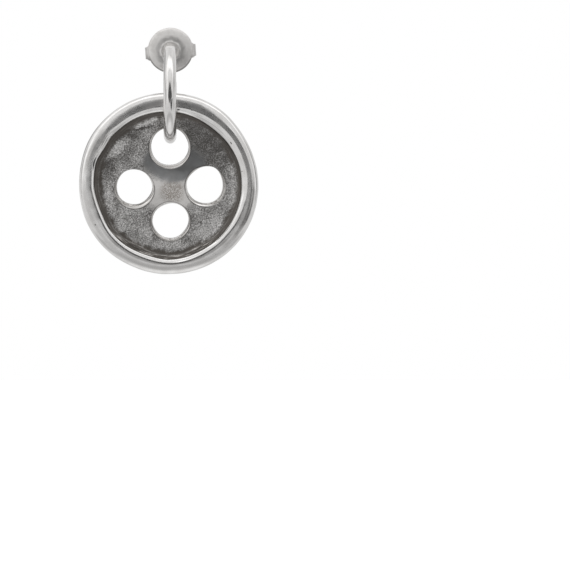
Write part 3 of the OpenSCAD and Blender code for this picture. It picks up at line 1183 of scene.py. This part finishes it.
MIDDLE = ((0.2, -0.3), (7.4, 7.4), 0)
STAIN = ((0.7, -1.4), (2.8, 3.0), 0)
# Painted dark reflection on the smooth area under the top hole, as if it mirrored the dark gap in front.
PAINTED_DARK_REFLECTION = ((1.5, 5.15), (8.1, 5.8), 6)
PAINTED_DARK_REFLECTION_FADE = ((0.8, 2.4), (8.0, 6.0), 0)
RIM_PITS = [
    ((1.95, 15.05), (0.36, 0.16), 0), ((4.66, 15.03), (0.18, 0.15), 0),
    ((8.86, 14.00), (0.16, 0.14), 0), ((12.50, 8.30), (0.34, 0.13), -55),
]


def patch(middle, size, turned, fray):
    """The mask of one oval patch on the casting."""
    sockets = {
        "Place": place,
        "Middle": (*middle, 0),
        "Size": (*size, 1),
        "Turned": radians(turned),
        "Fray": fray,
    }
    return use_group(tree, oval, sockets)["Mask"]


# %% The casting's material and its measures
COAT_DARK = grey(0.13, 0.05)
COAT_BRIGHT = grey(0.90, 0.015)
cast, tree, place = new_metal("antiqued_casting", button_centre, (pi / 2 + lean, 0, 0))
worn = use_group(tree, skin, {"Place": place, "Cloud size": 0.4, "Scratch count": 0.9, "Pit share": 0.05})
coated = use_group(tree, coat, {"Place": place, "Grain size": 4.4, "Patch size": 0.25})
hidden = node(tree, "Attribute", attribute_name="sunken").outputs["Fac"]
wall = node(tree, "Attribute", attribute_name="wall").outputs["Fac"]
part = node(tree, "SeparateXYZ", {0: place}).outputs
flat_place = vector_calc(tree, "MULTIPLY", place, (1, 1, 0))
from_middle = vector_calc(tree, "LENGTH", flat_place)

# %% The grain
# Painted light: the grain's level rises towards the bottom, a painted reflection of the pale light below.
level = add(tree, times(tree, coated["Patches"], 0.28), ramp(tree, part["Y"], 8, -8, 0.19, 0.32))
for middle, size, turned, strength in RUB_COAT_AND_REFLECTION_PATCHES:
    mask = patch(middle, size, turned, min(3.0, 0.4 + 1.6 * min(size)))
    level = add(tree, level, times(tree, mask, strength))
rub_and_painted_light = ramp(tree, add(tree, coated["Grain"], level), 0.30, 1.85)
rub_and_painted_light = times(tree, rub_and_painted_light, ramp(tree, coated["Fine"], 0, 1, 0.61, 1.16))
face_colour = blend(tree, rub_and_painted_light, COAT_DARK, COAT_BRIGHT)
print("grain rubbed in", len(RUB_COAT_AND_REFLECTION_PATCHES), "patches")

# %% The bare middle, its stain, and the painted dark reflection
BARE = grey(0.74, 0.025)
STAINED = grey(0.34, 0.09)
DARK_REFLECTION_TONES = (grey(0.41, -0.01), grey(0.8 * 0.41))
ragged = times(tree, coated["Grain"], 0.25)
bare = ramp(tree, add(tree, patch(*MIDDLE, fray=2.2), ragged), 0.32, 0.95)
stain = times(tree, patch(*STAIN, fray=1.4), ramp(tree, coated["Grain"], 0.9, 0.3, 0.15, 1.0))
face_colour = blend(tree, bare, face_colour, blend(tree, stain, BARE, STAINED))
# Painted dark reflection: the smooth area under the top hole is darkened.
painted_dark_reflection = ramp(tree, add(tree, patch(*PAINTED_DARK_REFLECTION, fray=1.6), ragged), 0.38, 0.85)
painted_dark_reflection = times(tree, painted_dark_reflection, ramp(tree, patch(*PAINTED_DARK_REFLECTION_FADE, fray=2.0), 0.0, 0.7))
face_colour = blend(tree, painted_dark_reflection, face_colour, blend(tree, coated["Patches"], *DARK_REFLECTION_TONES))

# %% [markdown]
# Where the face meets the wall the coat is thickest, so it is darkest there. The wall itself was folded as
# the wax was pushed about, and its folds get painted highlights low on the drop: a noise that is read round
# the middle and up the wall gives them. The edges of the holes are rubbed bright, with a painted dark
# reflection line just outside them, and painted shade deep in the hole.

# %% The foot of the wall and the painted highlights on its folds
FOOT = grey(0.11, 0.10)
WALL_COAT_AND_HIGHLIGHT = (grey(0.11, 0.09), grey(0.55, 0.05))
FOLD_SCALE = 5.0
foot = add(tree, from_middle, times(tree, coated["Patches"], -0.7))
foot = times(tree, ramp(tree, foot, 12.6, 13.5), calc(tree, "SUBTRACT", 1.0, wall))
face_colour = blend(tree, foot, face_colour, FOOT)
along_wall = vector_calc(tree, "SCALE", vector_calc(tree, "NORMALIZE", flat_place), FOLD_SCALE)
up_wall = node(tree, "CombineXYZ", {2: times(tree, from_middle, FOLD_SCALE)}).outputs[0]
# Painted highlights on the wall's folds, only low on the drop, where the wall faces up to the light.
fold_highlights = noise(tree, vector_calc(tree, "ADD", along_wall, up_wall), 1.0, 2.0)["Fac"]
fold_highlights = times(tree, ramp(tree, fold_highlights, 0.50, 0.66), ramp(tree, part["Y"], -7, -12, 0.12, 1.0))
face_colour = blend(tree, wall, face_colour, blend(tree, fold_highlights, *WALL_COAT_AND_HIGHLIGHT))

# %% The edges of the holes
EDGE_TONES = (grey(0.70, 0.03), grey(0.86, 0.02))
HOLE_SHADE_TONE = grey(0.26, 0.05)
edge = 0.0
# Painted dark reflection: a thin dark ring just outside each hole's edge.
dark_reflection_ring = 0.0
for hole in HOLES.values():
    middle = Vector(hole["place"]) + Vector(hole["slide"])
    reach = hole["radius"] + FLARE
    away = vector_calc(tree, "DISTANCE", flat_place, (*middle, 0))
    edge = larger(tree, edge, ramp(tree, away, reach + 0.10, reach - 0.08))
    dark_reflection_ring = larger(tree, dark_reflection_ring, between(tree, away, reach - 0.16, reach - 0.04, reach + 0.02, reach + 0.14))
# Painted shade: darker deep in each hole.
hole_shade = times(tree, ramp(tree, part["Z"], 0.26, 0.0), ramp(tree, coated["Grain"], 0, 1, 0.5, 1.0))
edge_colour = blend(tree, hole_shade, blend(tree, coated["Patches"], *EDGE_TONES), HOLE_SHADE_TONE)
face_colour = blend(tree, edge, face_colour, edge_colour)
dark_reflection_ring = times(tree, dark_reflection_ring, ramp(tree, coated["Patches"], 0.0, 0.8, 0.9, 0.5))
face_colour = blend(tree, dark_reflection_ring, face_colour, COAT_DARK)

# %% [markdown]
# The rim was on the buff longest. Two painted dark reflections lie on it, with the pits of the casting. One
# lies between the band and the roll, most on the right and the upper left, and one lies low in the
# groove outside the lip. The skin's pits fall anywhere, and four more are where the photo shows them.
# Roughness and height follow the same masks as the colour.

# %% The rim
RIM_TONES = (grey(0.88, 0.012), grey(0.80, 0.018))
RIM_DARK_REFLECTION = grey(0.30, 0.03)
REFLECTION_LINE = (16.25, 16.70, 17.00, 17.40)
GROOVE_REFLECTION = (15.70, 15.95, 16.05, 16.40)
BAND_FLAT = (15.5, 16.0, 16.8, 17.4)
RIM_PIT = grey(0.10, 0.06)
on_right = times(tree, ramp(tree, part["Y"], 3, -2), ramp(tree, part["X"], 12.0, 15.5, 0.28, 0.60))
on_left = times(tree, ramp(tree, part["Y"], 1, 5), ramp(tree, part["X"], -12.0, -15.0, 0.0, 0.55))
# Painted dark reflections: a line between band and roll at the sides, and one low in the lip's groove.
rim_reflection = times(tree, between(tree, from_middle, *REFLECTION_LINE), larger(tree, on_right, on_left))
groove_reflection = times(tree, between(tree, from_middle, *GROOVE_REFLECTION), ramp(tree, part["Y"], -8, -12, 0.0, 0.55))
rim_reflection = larger(tree, rim_reflection, groove_reflection)
rim_colour = blend(tree, rim_reflection, blend(tree, worn["Cloud"], *RIM_TONES), RIM_DARK_REFLECTION)
pits = worn["Pits"]
for pit in RIM_PITS:
    pits = larger(tree, pits, patch(*pit, fray=0.12))
rim_colour = blend(tree, pits, rim_colour, RIM_PIT)
colour = blend(tree, hidden, rim_colour, face_colour)

# %% The casting's roughness and height
even_face = larger(tree, larger(tree, bare, painted_dark_reflection), edge)
face_rough = ramp(tree, even_face, 0, 1, 0.44, 0.20)
face_rough = add(tree, face_rough, times(tree, painted_dark_reflection, 0.14))
face_rough = add(tree, face_rough, times(tree, edge, -0.07))
face_rough = node(tree, "Mix", {0: wall, 2: face_rough, 3: 0.32}, data_type="FLOAT").outputs[0]
band = between(tree, from_middle, *BAND_FLAT)
rim_rough = add(tree, ramp(tree, worn["Cloud"], 0, 1, 0.14, 0.20), times(tree, band, 0.12))
rough = node(tree, "Mix", {0: hidden, 2: rim_rough, 3: face_rough}, data_type="FLOAT").outputs[0]
grainy = times(tree, calc(tree, "SUBTRACT", 1.0, even_face), hidden)
grainy = times(tree, grainy, ramp(tree, part["Z"], 0.9, 0.5))
height = add(tree, times(tree, coated["Grain"], grainy), times(tree, pits, -0.8))
give_metal(button, cast, colour, rough, height, 0.028)

# %% [markdown]
# Each piece now stands for its CAD solid and moves with that solid's body: the hoop with the ear, the nut
# along the post, and the drop about the wire.

# %% Hand the pieces over
PIECES = {
    "ear_hoop": (hoop, "root", "polished_silver"),
    "ear_nut": (nut, "nut", "satin_sheet"),
    "button_drop": (button, "drop", "antiqued_silver"),
}
for node_name, (piece, body, slot_name) in PIECES.items():
    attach(piece, body)
    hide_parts(node_name)
